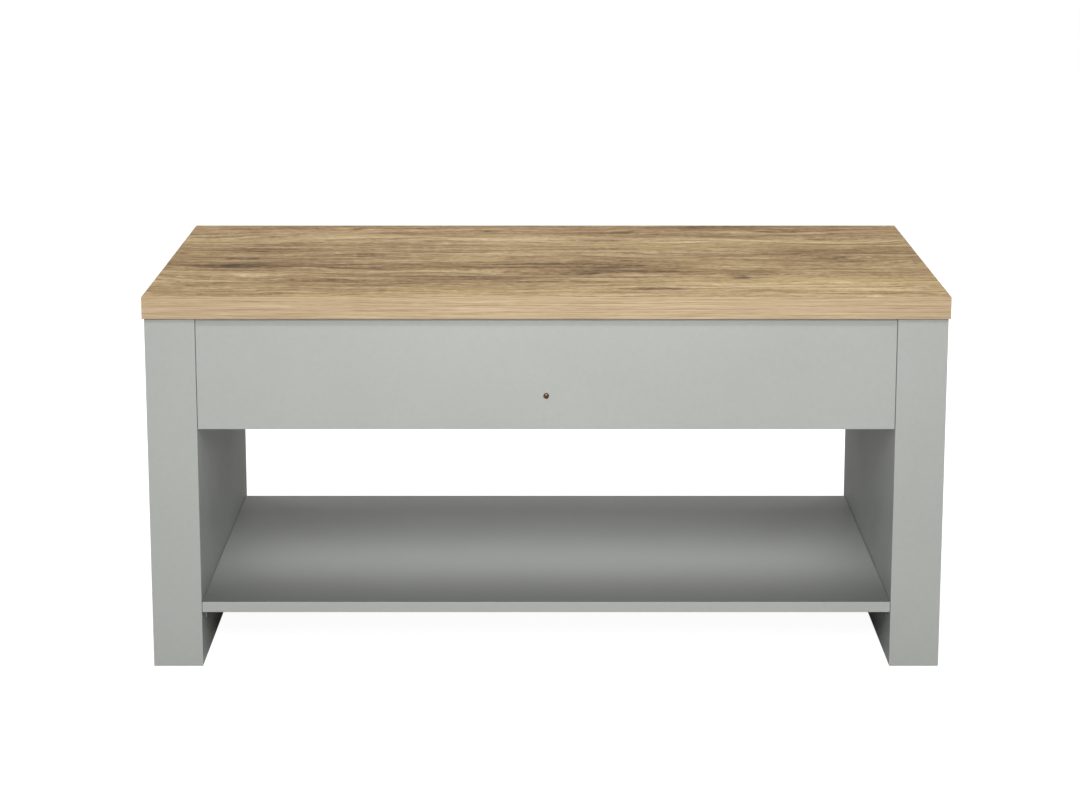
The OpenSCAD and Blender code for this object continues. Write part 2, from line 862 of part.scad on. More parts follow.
module right_spring() {
    color("lightsteelblue") translate([spring_x, spring_anchor[0], spring_anchor[1]])
        rotate([spring_tilt, 0, 0]) swept_wire(spring_path, wire_d / 2);
}

module left_spring() {
    left_side() right_spring();
}

top_board();
top_front_edge_band();
top_back_edge_band();
top_left_edge_band();
top_right_edge_band();
left_outer_skin();
left_inner_skin();
left_front_stile();
left_back_stile();
left_top_rail();
left_shelf_rail();
left_bottom_rail();
left_front_edge_band();
left_back_edge_band();
right_outer_skin();
right_inner_skin();
right_front_stile();
right_back_stile();
right_top_rail();
right_shelf_rail();
right_bottom_rail();
right_front_edge_band();
right_back_edge_band();
front_panel();
back_panel();
storage_floor();
centre_divider();
shelf();
shelf_front_edge_band();
shelf_brackets();
shelf_bracket_screws();
wood_dowels();
cam_bolts();
cam_locks();
divider_front_screw();
divider_back_screw();
floor_glides();
glide_nails();
top_buffers();
left_base_bracket();
right_base_bracket();
base_bracket_screws();
base_pivot_rivets();
base_pivot_washers();
spring_anchor_pins();
stop_pins();
stop_sleeves();
left_rear_arm();
right_rear_arm();
left_front_arm();
right_front_arm();
left_arm_spring_pin();
right_arm_spring_pin();
left_top_bracket();
right_top_bracket();
top_bracket_screws();
top_pivot_rivets();
top_pivot_washers();
left_spring();
right_spring();
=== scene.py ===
import json
import math

import bmesh
import bpy
from mathutils import Matrix, Vector

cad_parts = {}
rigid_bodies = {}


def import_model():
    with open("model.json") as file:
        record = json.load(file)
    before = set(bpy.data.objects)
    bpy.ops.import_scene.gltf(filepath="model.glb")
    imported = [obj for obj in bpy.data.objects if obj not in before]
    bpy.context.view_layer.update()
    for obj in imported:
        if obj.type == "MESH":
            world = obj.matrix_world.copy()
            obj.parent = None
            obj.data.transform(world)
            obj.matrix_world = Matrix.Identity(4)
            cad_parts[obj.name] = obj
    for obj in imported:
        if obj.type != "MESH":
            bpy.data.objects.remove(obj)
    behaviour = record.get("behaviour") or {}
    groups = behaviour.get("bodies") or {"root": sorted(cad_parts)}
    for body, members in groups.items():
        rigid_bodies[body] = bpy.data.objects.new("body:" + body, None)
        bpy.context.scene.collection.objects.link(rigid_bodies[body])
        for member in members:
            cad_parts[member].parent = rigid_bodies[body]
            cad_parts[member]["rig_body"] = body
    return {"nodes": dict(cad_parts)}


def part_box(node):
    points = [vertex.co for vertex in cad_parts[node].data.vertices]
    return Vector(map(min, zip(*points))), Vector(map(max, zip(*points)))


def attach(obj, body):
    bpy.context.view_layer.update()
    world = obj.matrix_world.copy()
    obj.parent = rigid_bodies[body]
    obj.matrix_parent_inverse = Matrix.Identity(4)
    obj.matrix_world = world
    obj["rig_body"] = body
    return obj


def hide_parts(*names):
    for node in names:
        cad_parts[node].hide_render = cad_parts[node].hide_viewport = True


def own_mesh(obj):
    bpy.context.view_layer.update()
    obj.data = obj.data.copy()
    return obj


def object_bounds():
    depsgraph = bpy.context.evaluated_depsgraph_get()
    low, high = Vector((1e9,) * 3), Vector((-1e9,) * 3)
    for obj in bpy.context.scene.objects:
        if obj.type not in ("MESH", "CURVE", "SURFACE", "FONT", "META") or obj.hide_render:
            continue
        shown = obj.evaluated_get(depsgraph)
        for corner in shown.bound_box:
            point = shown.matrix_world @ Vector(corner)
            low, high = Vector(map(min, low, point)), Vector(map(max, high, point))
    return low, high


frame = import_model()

cad_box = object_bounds()
nodes = frame["nodes"]
low, high = (Vector(corner) for corner in cad_box)


# ---- Studio ----
# A pale floor that runs out to a white surround, soft boxes over, before, behind and beside the
# table, and a long lens a little above the table top, square to the front.

def linear(red, green, blue):
    """A screen colour, 0 to 255 each, as the linear colour that the renderer wants."""
    def channel(value):
        value /= 255
        return value / 12.92 if value <= 0.04045 else ((value + 0.055) / 1.055) ** 2.4
    return (channel(red), channel(green), channel(blue), 1.0)


def aim(thing, target):
    thing.rotation_euler = (Vector(target) - thing.location).to_track_quat("-Z", "Y").to_euler()


lens_distance = 2.866
lens_height = 0.993
lens_pitch = 0.197
sides_front = low.y + 0.004
camera = bpy.data.objects.new("camera", bpy.data.cameras.new("camera"))
camera.data.sensor_width = 36
camera.data.lens = 87.6
camera.data.shift_y = -0.08
camera.data.clip_end = 200
camera.location = (-0.007, sides_front - lens_distance, lens_height)
camera.rotation_euler = (math.pi / 2 - lens_pitch, 0, 0)
bpy.context.scene.collection.objects.link(camera)
bpy.context.scene.camera = camera


def soft_box(name, place, target, size, watts):
    """A rectangular area light that faces its target."""
    lamp = bpy.data.objects.new(name, bpy.data.lights.new(name, "AREA"))
    lamp.data.shape = "RECTANGLE"
    lamp.data.size, lamp.data.size_y = size
    lamp.data.energy = watts
    lamp.location = place
    aim(lamp, target)
    bpy.context.scene.collection.objects.link(lamp)
    return lamp


soft_box("overhead_box", (0, 0.5, 2.9), (0, 0.1, 0), (3.0, 1.6), 24)
front_box = soft_box("front_box", (0, -1.65, 1.0), (0, 0, 0.36), (0.9, 0.55), 17.4)
high_front_box = soft_box("high_front_box", (0, -2.0, 2.7), (0, 0, 0.3), (1.0, 0.5), 33)
soft_box("rear_box", (0, 2.2, 1.6), (0, -0.1, 0.05), (2.0, 0.8), 5.5)
for side in (-1, 1):
    soft_box("corner_box", (side * 2.0, 1.7, 1.5), (0, 0, 0.25), (1.2, 0.8), 7.5)

# The front boxes are flagged off the shelf, which has a narrow strip light of its own.
shelf_strip = soft_box("shelf_strip", (0, -0.07, 0.21), (0, -0.07, 0), (0.78, 0.08), 0.40)
shelf_strip.visible_camera = False
for name, lamps, link in (
    ("flagged_off", (front_box, high_front_box), "EXCLUDE"), ("strip_lit", (shelf_strip,), "INCLUDE")
):
    flag = bpy.data.collections.new(name)
    flag.objects.link(nodes["shelf"])
    flag.collection_objects[0].light_linking.link_state = link
    for lamp in lamps:
        lamp.light_linking.receiver_collection = flag

# The surround lights the table dimly and is full white where the lens sees it.
world = bpy.data.worlds.new("surround")
world.use_nodes = True
bpy.context.scene.world = world
tree = world.node_tree
dim = tree.nodes["Background"]
bright = tree.nodes.new("ShaderNodeBackground")
for surround, strength in ((dim, 0.13), (bright, 1.0)):
    surround.inputs["Color"].default_value = (1, 1, 1, 1)
    surround.inputs["Strength"].default_value = strength
ray = tree.nodes.new("ShaderNodeLightPath")
blend = tree.nodes.new("ShaderNodeMixShader")
tree.links.new(ray.outputs["Is Camera Ray"], blend.inputs[0])
tree.links.new(dim.outputs[0], blend.inputs[1])
tree.links.new(bright.outputs[0], blend.inputs[2])
tree.links.new(blend.outputs[0], tree.nodes["World Output"].inputs[0])
bpy.context.scene.view_settings.view_transform = "Standard"


class Value:
    """A number or vector in a material. Python's operators on it add the Math nodes."""

    def __init__(self, look, socket):
        self.look = look
        self.socket = socket

    def math(self, operation, *others):
        return self.look.node("ShaderNodeMath", {"operation": operation}, self, *others)

    def reversed_math(self, operation, other):
        return self.look.node("ShaderNodeMath", {"operation": operation}, other, self)

    def __add__(self, other):
        return self.math("ADD", other)

    def __sub__(self, other):
        return self.math("SUBTRACT", other)

    def __mul__(self, other):
        return self.math("MULTIPLY", other)

    def __truediv__(self, other):
        return self.math("DIVIDE", other)

    def __pow__(self, other):
        return self.math("POWER", other)

    def __gt__(self, other):
        return self.math("GREATER_THAN", other)

    def __rsub__(self, other):
        return self.reversed_math("SUBTRACT", other)

    def __rtruediv__(self, other):
        return self.reversed_math("DIVIDE", other)

    __radd__ = __add__
    __rmul__ = __mul__


class Look:
    """A material under construction on one Principled shader, with patterns in metres."""

    def __init__(self, name, **constants):
        self.material = bpy.data.materials.new(name)
        self.material.use_nodes = True
        self.tree = self.material.node_tree
        self.shader = self.tree.nodes["Principled BSDF"]
        for socket, value in constants.items():
            self.shader.inputs[socket.replace("_", " ")].default_value = value

    def node(self, kind, settings, *values, out=0, **named):
        """Adds a node, sets what it is, fills its sockets in order and by name, gives an output."""
        made = self.tree.nodes.new(kind)
        for setting, value in settings.items():
            setattr(made, setting, value)
        filled = list(zip(made.inputs, values))
        filled += [(made.inputs[socket], value) for socket, value in named.items()]
        for socket, value in filled:
            if isinstance(value, Value):
                self.tree.links.new(value.socket, socket)
            elif value is not None:
                socket.default_value = value
        return Value(self, made.outputs[out])

    def place(self):
        return self.node("ShaderNodeTexCoord", {}, out="Object")

    def axes(self):
        split = self.node("ShaderNodeSeparateXYZ", {}, self.place())
        outputs = split.socket.node.outputs
        return [Value(self, outputs[axis]) for axis in "XYZ"]

    def joined(self, x, y, z):
        return self.node("ShaderNodeCombineXYZ", {}, x, y, z)

    def noise(self, per_metre, shift=(0, 0, 0), vector=None, **settings):
        """Noise with its own number of features per metre along each axis, about 0 to 1."""
        spread = self.node(
            "ShaderNodeMapping", {}, vector or self.place(),
            Location=shift, Scale=per_metre,
        )
        values = {"Scale": 1.0, "Detail": 3.0, "Roughness": 0.55, **settings}
        return self.node("ShaderNodeTexNoise", {}, Vector=spread, **values)

    def smooth(self, value, start, end, to_low=0.0, to_high=1.0):
        settings = {"interpolation_type": "SMOOTHSTEP"}
        return self.node("ShaderNodeMapRange", settings, value, start, end, to_low, to_high)

    def mix(self, share, first, second, blend_type="MIX"):
        made = self.tree.nodes.new("ShaderNodeMix")
        made.data_type = "RGBA"
        made.blend_type = blend_type
        factor, colour_a, colour_b = (made.inputs[at] for at in (0, 6, 7))
        for socket, value in ((factor, share), (colour_a, first), (colour_b, second)):
            if isinstance(value, Value):
                self.tree.links.new(value.socket, socket)
            else:
                socket.default_value = value
        return Value(self, made.outputs[2])

    def ramp(self, value, stops):
        made = self.tree.nodes.new("ShaderNodeValToRGB")
        for index, (at, colour) in enumerate(stops):
            if index < 2:
                stop = made.color_ramp.elements[index]
                stop.position = at
            else:
                stop = made.color_ramp.elements.new(at)
            stop.color = colour
        self.tree.links.new(value.socket, made.inputs[0])
        return Value(self, made.outputs[0])

    def wear(self, **varying):
        """Joins what changes over the surface to the shader; Height goes through a Bump node."""
        height = varying.pop("Height", None)
        if height is not None:
            value, strength, metres = height
            varying["Normal"] = self.node(
                "ShaderNodeBump", {}, Strength=strength, Distance=metres, Height=value
            )
        for socket, value in varying.items():
            self.tree.links.new(value.socket, self.shader.inputs[socket.replace("_", " ")])
        return self.material


floor_reach = 14.0
corners = [(x * floor_reach, y * floor_reach, 0) for x, y in ((-1, -1), (1, -1), (1, 1), (-1, 1))]
floor_mesh = bpy.data.meshes.new("floor")
floor_mesh.from_pydata(corners, [], [(0, 1, 2, 3)])
floor = bpy.data.objects.new("floor", floor_mesh)
bpy.context.scene.collection.objects.link(floor)
paper = Look(
    "floor_paper", Base_Color=(0.42, 0.42, 0.42, 1), Roughness=0.9, Emission_Strength=0.95
)
seen_straight = paper.node("ShaderNodeLightPath", {}, out="Is Camera Ray")
floor.data.materials.append(paper.wear(
    Emission_Color=paper.mix(seen_straight, (0, 0, 0, 1), (1, 1, 1, 1))
))


# ---- Table top ----
# One thick board with a printed rustic oak face: broad brown-grey and straw streaks along the
# width, fine broken grain, a few knots. Its underside is a plain backing foil.

def dress(names, material):
    """Gives CAD pieces their finish."""
    for name in names:
        nodes[name].data.materials.clear()
        nodes[name].data.materials.append(material)


oak = Look("rustic_oak", IOR=1.45, Specular_IOR_Level=0.28)
x, y, z = oak.axes()

# Knots: across, front to back, half length, half width, how dark
knots = [
    (-0.372, -0.050, 0.030, 0.0085, 0.75),
    (-0.352, -0.004, 0.024, 0.0060, 0.60),
    (0.226, -0.110, 0.026, 0.0085, 0.90),
    (0.252, -0.054, 0.020, 0.0050, 0.45),
    (-0.075, 0.200, 0.012, 0.0045, 0.75),
    (0.062, 0.130, 0.020, 0.0045, 0.60),
    (0.142, -0.196, 0.026, 0.0040, 0.70),
    (0.346, 0.008, 0.014, 0.0060, 0.60),
    (0.430, 0.054, 0.020, 0.0035, 0.60),
    (-0.300, -0.140, 0.022, 0.0030, 0.35),
]
# Streaks: across, front to back, half length, half width, how much darker, or lighter if below 0
streaks = [
    (-0.12, -0.135, 0.21, 0.030, 0.20),
    (-0.34, -0.045, 0.15, 0.030, 0.16),
    (0.06, -0.050, 0.16, 0.075, 0.13),
    (0.32, 0.045, 0.14, 0.055, 0.14),
    (-0.20, 0.080, 0.20, 0.030, 0.06),
    (0.16, 0.120, 0.24, 0.035, -0.17),
    (0.30, -0.170, 0.17, 0.050, -0.17),
    (-0.33, 0.150, 0.12, 0.040, -0.10),
    (-0.03, 0.150, 0.07, 0.040, -0.14),
    (-0.40, -0.100, 0.10, 0.012, -0.18),
    (-0.26, -0.200, 0.16, 0.030, -0.06),
]


def hill(look, x, y, across, back, half_length, half_width):
    """1 at a place on the board, fading to 0 over an ellipse along the grain."""
    far = ((x - across) / half_length) ** 2.0 + ((y - back) / half_width) ** 2.0
    return look.node("ShaderNodeMath", {"operation": "EXPONENT"}, far * -1.0)


sway = oak.noise((1.5, 7.0, 0), shift=(3.1, 0.4, 0), Detail=2.0) - 0.5
ripple = oak.noise((9.0, 42.0, 0), shift=(0.7, 5.2, 0), Detail=3.0) - 0.5
drift = oak.noise((5.0, 13.0, 0), shift=(5.3, 2.9, 0), Detail=2.0) - 0.5
grain_y = y + sway * 0.060 + drift * 0.050 + ripple * 0.018
ragged = oak.noise((60.0, 160.0, 0), shift=(2.2, 1.1, 0), Detail=2.0) * 0.9 + 0.55
knot_dark = None
for across, back, half_length, half_width, dark in knots:
    around = hill(oak, x, y, across, back, half_length * 1.9, half_width * 2.4)
    grain_y = grain_y + (y - back) * around * -0.55
    core = hill(oak, x, grain_y, across, back, half_length * 0.55, half_width * 0.80) * dark
    knot_dark = core if knot_dark is None else knot_dark + core
grain = oak.joined(x, grain_y, z)

broad = oak.noise((1.6, 22.0, 0), vector=grain, shift=(1.3, 2.6, 0), Detail=3.0, Roughness=0.6)
medium = oak.noise((7.0, 95.0, 0), vector=grain, shift=(4.0, 1.0, 0), Detail=3.0, Roughness=0.65)
fine = oak.noise((34.0, 300.0, 0), vector=grain, shift=(9.0, 3.0, 0), Detail=3.0, Roughness=0.65)
fibre = oak.noise((120.0, 1100.0, 0), vector=grain, shift=(2.0, 8.0, 0), Detail=2.0)
feather = oak.noise((110.0, 190.0, 0), vector=grain, shift=(6.0, 6.0, 0), Detail=2.0, Distortion=0.5)
tone = broad * 0.75 + medium * 1.22 + fine * 0.72 + fibre * 0.22 + feather * 0.52 - 1.215
for across, back, half_length, half_width, dark in streaks:
    tone = tone + hill(oak, x, grain_y, across, back, half_length, half_width) * -dark
for across, back, half_length, half_width, dark in knots:
    smoke = hill(oak, x, grain_y, across, back, half_length * 1.5, half_width * 2.2)
    tone = tone + smoke * (-0.20 * dark)
pore_noise = oak.noise((30.0, 420.0, 0), vector=grain, shift=(0, 7.0, 0), Detail=2.0)
pores = oak.smooth(pore_noise, 0.60, 0.74)
tone = tone - pores * 0.22
oak_colour = oak.ramp(tone, [
    (0.12, linear(98, 74, 44)), (0.28, linear(135, 107, 69)), (0.42, linear(161, 133, 93)),
    (0.54, linear(181, 153, 111)), (0.68, linear(200, 175, 132)), (0.92, linear(228, 204, 158)),
])
straw_noise = oak.noise((1.8, 20.0, 0), vector=grain, shift=(8.0, 1.7, 0), Detail=3.0)
straw = oak.smooth(straw_noise, 0.48, 0.72)
oak_colour = oak.mix(straw * 0.38, oak_colour, linear(255, 248, 214), "MULTIPLY")
knot_share = oak.smooth(knot_dark * ragged, 0.26, 0.74)
oak_colour = oak.mix(knot_share, oak_colour, linear(76, 58, 42))

underside_z = high.z - 0.024
above_underside = (z - underside_z) > 0.0
speckle = oak.noise((900, 900, 900), Detail=2.0)
backing = oak.ramp(speckle, [(0.3, linear(190, 186, 176)), (0.7, linear(204, 200, 191))])
oak_colour = oak.mix(above_underside, backing, oak_colour)
oak_rough = oak.smooth(fine, 0.3, 0.7, 0.60, 0.48) + pores * 0.12
dress(["top_board"], oak.wear(
    Base_Color=oak_colour, Roughness=oak_rough,
    Height=(fine * 0.5 + fibre * 0.3 - pores * 0.8, 0.35, 0.0003),
))


# ---- Edge bands of the top ----
# Thin strips of light oak decor glued to the four edges, each with fine straight grain that
# runs along its own edge and lines up into faint waves.

def light_oak(name, along, across):
    look = Look(name, IOR=1.45)

    def stretched(long_scale, short_scale):
        scale = {"X": 0.0, "Y": 0.0, "Z": 0.0, along: long_scale, across: short_scale}
        return tuple(scale.values())

    axes = dict(zip("XYZ", look.axes()))
    wave = look.noise(stretched(9.0, 22.0), Detail=3.0) - 0.5
    axes[across] = axes[across] + wave * 0.0035
    run = look.joined(*axes.values())
    lines = look.noise(stretched(8.0, 700.0), vector=run, Detail=2.0, Roughness=0.6)
    hair = look.noise(stretched(60.0, 1700.0), vector=run, shift=(5, 5, 5), Detail=2.0)
    cloud = look.noise(stretched(3.0, 9.0), shift=(1, 2, 3), Detail=1.0)
    tone = lines * 1.35 + hair * 0.65 + cloud * 0.20 - 0.62
    colour = look.ramp(tone, [
        (0.14, linear(152, 125, 90)), (0.36, linear(179, 154, 120)),
        (0.60, linear(198, 174, 140)), (0.90, linear(214, 190, 155)),
    ])
    return look.wear(
        Base_Color=colour, Roughness=look.smooth(lines, 0.3, 0.7, 0.50, 0.40),
        Height=(lines + hair * 0.5, 0.25, 0.0002),
    )


dress(["top_front_edge_band", "top_back_edge_band"], light_oak("light_oak_long", "X", "Z"))
dress(["top_left_edge_band", "top_right_edge_band"], light_oak("light_oak_short", "Y", "Z"))


# ---- Painted boards: slab sides, storage box and shelf ----
# Chipboard wrapped in a light grey satin foil with a very fine eggshell grain. The slab sides
# are two skins closed at the front and back with strips of the same foil.

def shaded(colour, share):
    return tuple(channel * share for channel in colour[:3]) + (1.0,)


def grey_foil(name, colour, roughness):
    look = Look(name, IOR=1.46)
    cloud = look.noise((5.0, 5.0, 5.0), Detail=2.0)
    eggshell = look.noise((650.0, 650.0, 650.0), Detail=2.0, Roughness=0.6)
    dust = look.noise((160.0, 160.0, 160.0), shift=(4, 4, 4), Detail=3.0)
    tone = cloud * 0.5 + eggshell * 0.3 + dust * 0.4 - 0.1
    return look.wear(
        Base_Color=look.ramp(tone, [(0.25, shaded(colour, 0.95)), (0.75, shaded(colour, 1.05))]),
        Roughness=look.smooth(dust, 0.3, 0.7, roughness - 0.03, roughness + 0.04),
        Height=(eggshell, 0.18, 0.00012),
    )


def on_both_sides(*pieces):
    return [f"{side}_{piece}" for side in ("left", "right") for piece in pieces]


satin_grey = grey_foil("grey_foil", linear(178, 180, 176), 0.40)
dress(on_both_sides("outer_skin", "inner_skin", "front_edge_band", "back_edge_band"), satin_grey)
dress(["front_panel", "back_panel", "storage_floor", "centre_divider"], satin_grey)
dress(["shelf", "shelf_front_edge_band"], satin_grey)


# ---- Frames inside the sides ----
# Planed softwood stiles and rails between the skins. Only their ends show: raw wood under the
# table, and a wrap of grey foil over their tops, which shows when the table top is raised.

pine = Look("softwood", Roughness=0.62)
rings = pine.noise((70.0, 4.0, 4.0), Detail=3.0, Distortion=0.5)
hairs = pine.noise((500.0, 30.0, 30.0), shift=(2, 2, 2), Detail=2.0)
pine_colour = pine.ramp(rings * 0.8 + hairs * 0.3, [
    (0.30, linear(186, 148, 100)), (0.75, linear(228, 196, 150)),
])
side_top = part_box("left_outer_skin")[1].z
foil_t = 0.0006
wrapped = pine.axes()[2] > side_top - foil_t
pine.wear(
    Base_Color=pine.mix(wrapped, pine_colour, linear(176, 178, 174)),
    Height=(hairs, 0.3, 0.0002),
)
dress(on_both_sides("front_stile", "back_stile"), pine.material)
dress(on_both_sides("top_rail", "shelf_rail", "bottom_rail"), pine.material)


# ---- Joints of the box ----
# Beech dowels glued into the ends of the panels, and cam locks: die-cast discs that a quarter
# turn tightens on the heads of zinc-plated bolts.

beech = Look("beech", Roughness=0.6)
flecks = beech.noise((60.0, 500.0, 500.0), Detail=2.0)
dress(["wood_dowels"], beech.wear(
    Base_Color=beech.ramp(flecks, [(0.3, linear(196, 160, 116)), (0.7, linear(224, 192, 150))]),
    Height=(flecks, 0.3, 0.0002),
))


def plated(name, tint, roughness):
    """Bright plating: a metal with a faint cloudy sheen and fine wiping marks."""
    look = Look(name, Metallic=1.0)
    cloud = look.noise((90.0, 90.0, 90.0), Detail=3.0)
    marks = look.noise((300.0, 2400.0, 300.0), shift=(3, 1, 2), Detail=2.0)
    return look.wear(
        Base_Color=look.ramp(cloud, [(0.32, shaded(tint, 0.84)), (0.68, tint)]),
        Roughness=look.smooth(marks, 0.25, 0.75, roughness - 0.07, roughness + 0.09),
        Height=(marks, 0.12, 0.0001),
    )


zinc = plated("zinc_plate", linear(206, 209, 213), 0.30)
die_cast = plated("die_cast_zinc", linear(158, 160, 162), 0.46)
merge_distance = 2e-6


def eased(name, node, edge, material):
    """A CAD piece's own shape with its edges rounded over, as pressing and plating leave them."""
    mesh = nodes[node].data.copy()
    shape = bmesh.new()
    shape.from_mesh(mesh)
    bmesh.ops.remove_doubles(shape, verts=shape.verts, dist=merge_distance)
    bmesh.ops.dissolve_limit(
        shape, angle_limit=math.radians(0.5), verts=shape.verts, edges=shape.edges
    )
    for face in shape.faces:
        face.smooth = True
    shape.to_mesh(mesh)
    shape.free()
    piece = bpy.data.objects.new(name, mesh)
    bpy.context.scene.collection.objects.link(piece)
    bevel = piece.modifiers.new("rounding", "BEVEL")
    bevel.width = edge
    bevel.segments = 2
    bevel.limit_method = "ANGLE"
    bevel.angle_limit = math.radians(28)
    bevel.harden_normals = True
    settle(piece, material)
    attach(piece, nodes[node]["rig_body"])
    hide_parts(node)
    return piece


def settle(piece, material):
    """Turns a piece's modifiers into plain mesh and gives it its finish."""
    bpy.context.view_layer.update()
    evaluated = piece.evaluated_get(bpy.context.evaluated_depsgraph_get())
    mesh = bpy.data.meshes.new_from_object(evaluated)
    piece.modifiers.clear()
    piece.data = mesh
    mesh.materials.clear()
    mesh.materials.append(material)


eased("cam_lock_discs", "cam_locks", 0.00025, die_cast)
eased("cam_lock_bolts", "cam_bolts", 0.0003, zinc)


# ---- Shelf brackets ----
# Four small pressed-steel angles under the ends of the shelf, each screwed once up into the
# shelf and once into the side.

eased("shelf_angle_brackets", "shelf_brackets", 0.0004, zinc)


# ---- Screws of the brackets and plates ----
# Zinc-plated steel pan-head screws with a cross recess. A rolled thread holds their shanks in
# the boards, and only their crowned heads show.

def islands(node):
    """The boxes of the separate solids of a CAD node, as (low, high) corners."""
    shape = bmesh.new()
    shape.from_mesh(nodes[node].data)
    bmesh.ops.remove_doubles(shape, verts=shape.verts, dist=merge_distance)
    left = set(shape.verts)
    boxes = []
    while left:
        front = [left.pop()]
        found = []
        while front:
            vertex = front.pop()
            found.append(vertex.co.copy())
            for edge in vertex.link_edges:
                other = edge.other_vert(vertex)
                if other in left:
                    left.remove(other)
                    front.append(other)
        corner_low = Vector(min(co[axis] for co in found) for axis in range(3))
        corner_high = Vector(max(co[axis] for co in found) for axis in range(3))
        boxes.append((corner_low, corner_high))
    shape.free()
    return sorted(boxes, key=lambda box: tuple(round(value, 5) for value in box[0]))


def lathe(name, profile, steps=40):
    """A round solid about Z from its profile of (radius, height) points, from axis to axis."""
    shape = bmesh.new()
    points = [shape.verts.new((radius, 0, height)) for radius, height in profile]
    edges = [shape.edges.new(pair) for pair in zip(points, points[1:])]
    bmesh.ops.spin(
        shape, geom=points + edges, axis=(0, 0, 1), cent=(0, 0, 0), angle=math.tau, steps=steps
    )
    bmesh.ops.remove_doubles(shape, verts=shape.verts, dist=1e-6)
    bmesh.ops.recalc_face_normals(shape, faces=shape.faces)
    for face in shape.faces:
        face.smooth = True
    mesh = bpy.data.meshes.new(name)
    shape.to_mesh(mesh)
    shape.free()
    mesh.set_sharp_from_angle(angle=math.radians(35))
    piece = bpy.data.objects.new(name, mesh)
    bpy.context.scene.collection.objects.link(piece)
    return piece


class Tree:
    """A Geometry Nodes tree under construction, with named inputs."""

    def __init__(self, name, **inputs):
        self.group = bpy.data.node_groups.new(name, "GeometryNodeTree")
        self.sockets = {}
        for label, kind in {"Geometry": "NodeSocketGeometry", **inputs}.items():
            socket = self.group.interface.new_socket(label, in_out="INPUT", socket_type=kind)
            self.sockets[label] = socket.identifier
        self.group.interface.new_socket("Geometry", in_out="OUTPUT", socket_type="NodeSocketGeometry")
        self.input = self.group.nodes.new("NodeGroupInput")
        self.output = self.group.nodes.new("NodeGroupOutput")

    def given(self, label):
        return self.input.outputs[label]

    def node(self, kind, settings=None, out=0, **links):
        made = self.group.nodes.new(kind)
        for setting, value in (settings or {}).items():
            setattr(made, setting, value)
        for label, value in links.items():
            socket = made.inputs[label.replace("_", " ")]
            if isinstance(value, bpy.types.NodeSocket):
                self.group.links.new(value, socket)
            else:
                socket.default_value = value
        return made.outputs[out]

    def finish(self, geometry):
        self.group.links.new(geometry, self.output.inputs[0])

    def use(self, piece, **values):
        modifier = piece.modifiers.new(self.group.name, "NODES")
        modifier.node_group = self.group
        for label, value in values.items():
            modifier[self.sockets[label]] = value


repeat = Tree("repeat_fixing", Fixing="NodeSocketObject", Finish="NodeSocketMaterial")
turned = repeat.node(
    "FunctionNodeAlignRotationToVector", {"axis": "Z"},
    Vector=repeat.node("GeometryNodeInputNamedAttribute", {"data_type": "FLOAT_VECTOR"}, Name="facing"),
)
fixing = repeat.node("GeometryNodeObjectInfo", {}, out="Geometry", Object=repeat.given("Fixing"))
copies = repeat.node(
    "GeometryNodeInstanceOnPoints", {},
    Points=repeat.given("Geometry"), Instance=fixing, Rotation=turned,
)
whole = repeat.node("GeometryNodeRealizeInstances", {}, Geometry=copies)
repeat.finish(repeat.node(
    "GeometryNodeSetMaterial", {}, Geometry=whole, Material=repeat.given("Finish")
))


def repeated(name, fixing, places, material):
    """Copies of a fixing at each (place, facing): its own +Z turns to face that way."""
    mesh = bpy.data.meshes.new(name)
    mesh.from_pydata([place for place, facing in places], [], [])
    facings = mesh.attributes.new("facing", "FLOAT_VECTOR", "POINT")
    facings.data.foreach_set("vector", [value for place, facing in places for value in facing])
    piece = bpy.data.objects.new(name, mesh)
    bpy.context.scene.collection.objects.link(piece)
    repeat.use(piece, Fixing=fixing, Finish=material)
    settle(piece, material)
    return piece


def pan_screw(name, head_r, head_h, shank_r, shank_l):
    """A pan-head screw: a crowned head that stands on z = 0, a cross recess, a threaded shank."""
    pitch = shank_r * 0.9
    root_r = shank_r * 0.72
    crest_r = shank_r * 0.98
    plain_l = shank_l * 0.2
    thread = []
    for turn in range(int(shank_l * 0.72 / pitch)):
        top = -plain_l - turn * pitch
        thread += [(root_r, top), (crest_r, top - pitch * 0.4), (root_r, top - pitch * 0.8)]
    rim_h = head_h * 0.32
    crown = [
        (head_r * math.sin(angle) * 0.98, rim_h + (head_h - rim_h) * math.cos(angle))
        for angle in (math.radians(step) for step in range(12, 91, 13))
    ]
    skirt = [(head_r, head_h * 0.22), (head_r * 0.97, 0), (shank_r * 0.9, 0)]
    profile = [(0, head_h)] + crown + skirt + thread + [(0, -shank_l)]
    screw = lathe(name, profile, 36)
    cross = bpy.data.meshes.new(name + "_recess")
    shape = bmesh.new()
    for turn in (0, math.pi / 2):
        arm = bmesh.ops.create_cube(shape, size=1.0)["verts"]
        bmesh.ops.scale(shape, vec=(head_r * 1.15, head_r * 0.26, head_h), verts=arm)
        for vertex in arm:
            if vertex.co.z < 0:
                vertex.co.x *= 0.45
        bmesh.ops.rotate(shape, cent=(0, 0, 0), matrix=Matrix.Rotation(turn, 3, "Z"), verts=arm)
        bmesh.ops.translate(shape, vec=(0, 0, head_h * 0.88), verts=arm)
    shape.to_mesh(cross)
    shape.free()
    cutter = bpy.data.objects.new(name + "_recess", cross)
    bpy.context.scene.collection.objects.link(cutter)
    cut = screw.modifiers.new("recess", "BOOLEAN")
    cut.operation = "DIFFERENCE"
    cut.solver = "EXACT"
    cut.use_self = True
    cut.object = cutter
    settle(screw, zinc)
    bpy.data.objects.remove(cutter)
    return screw


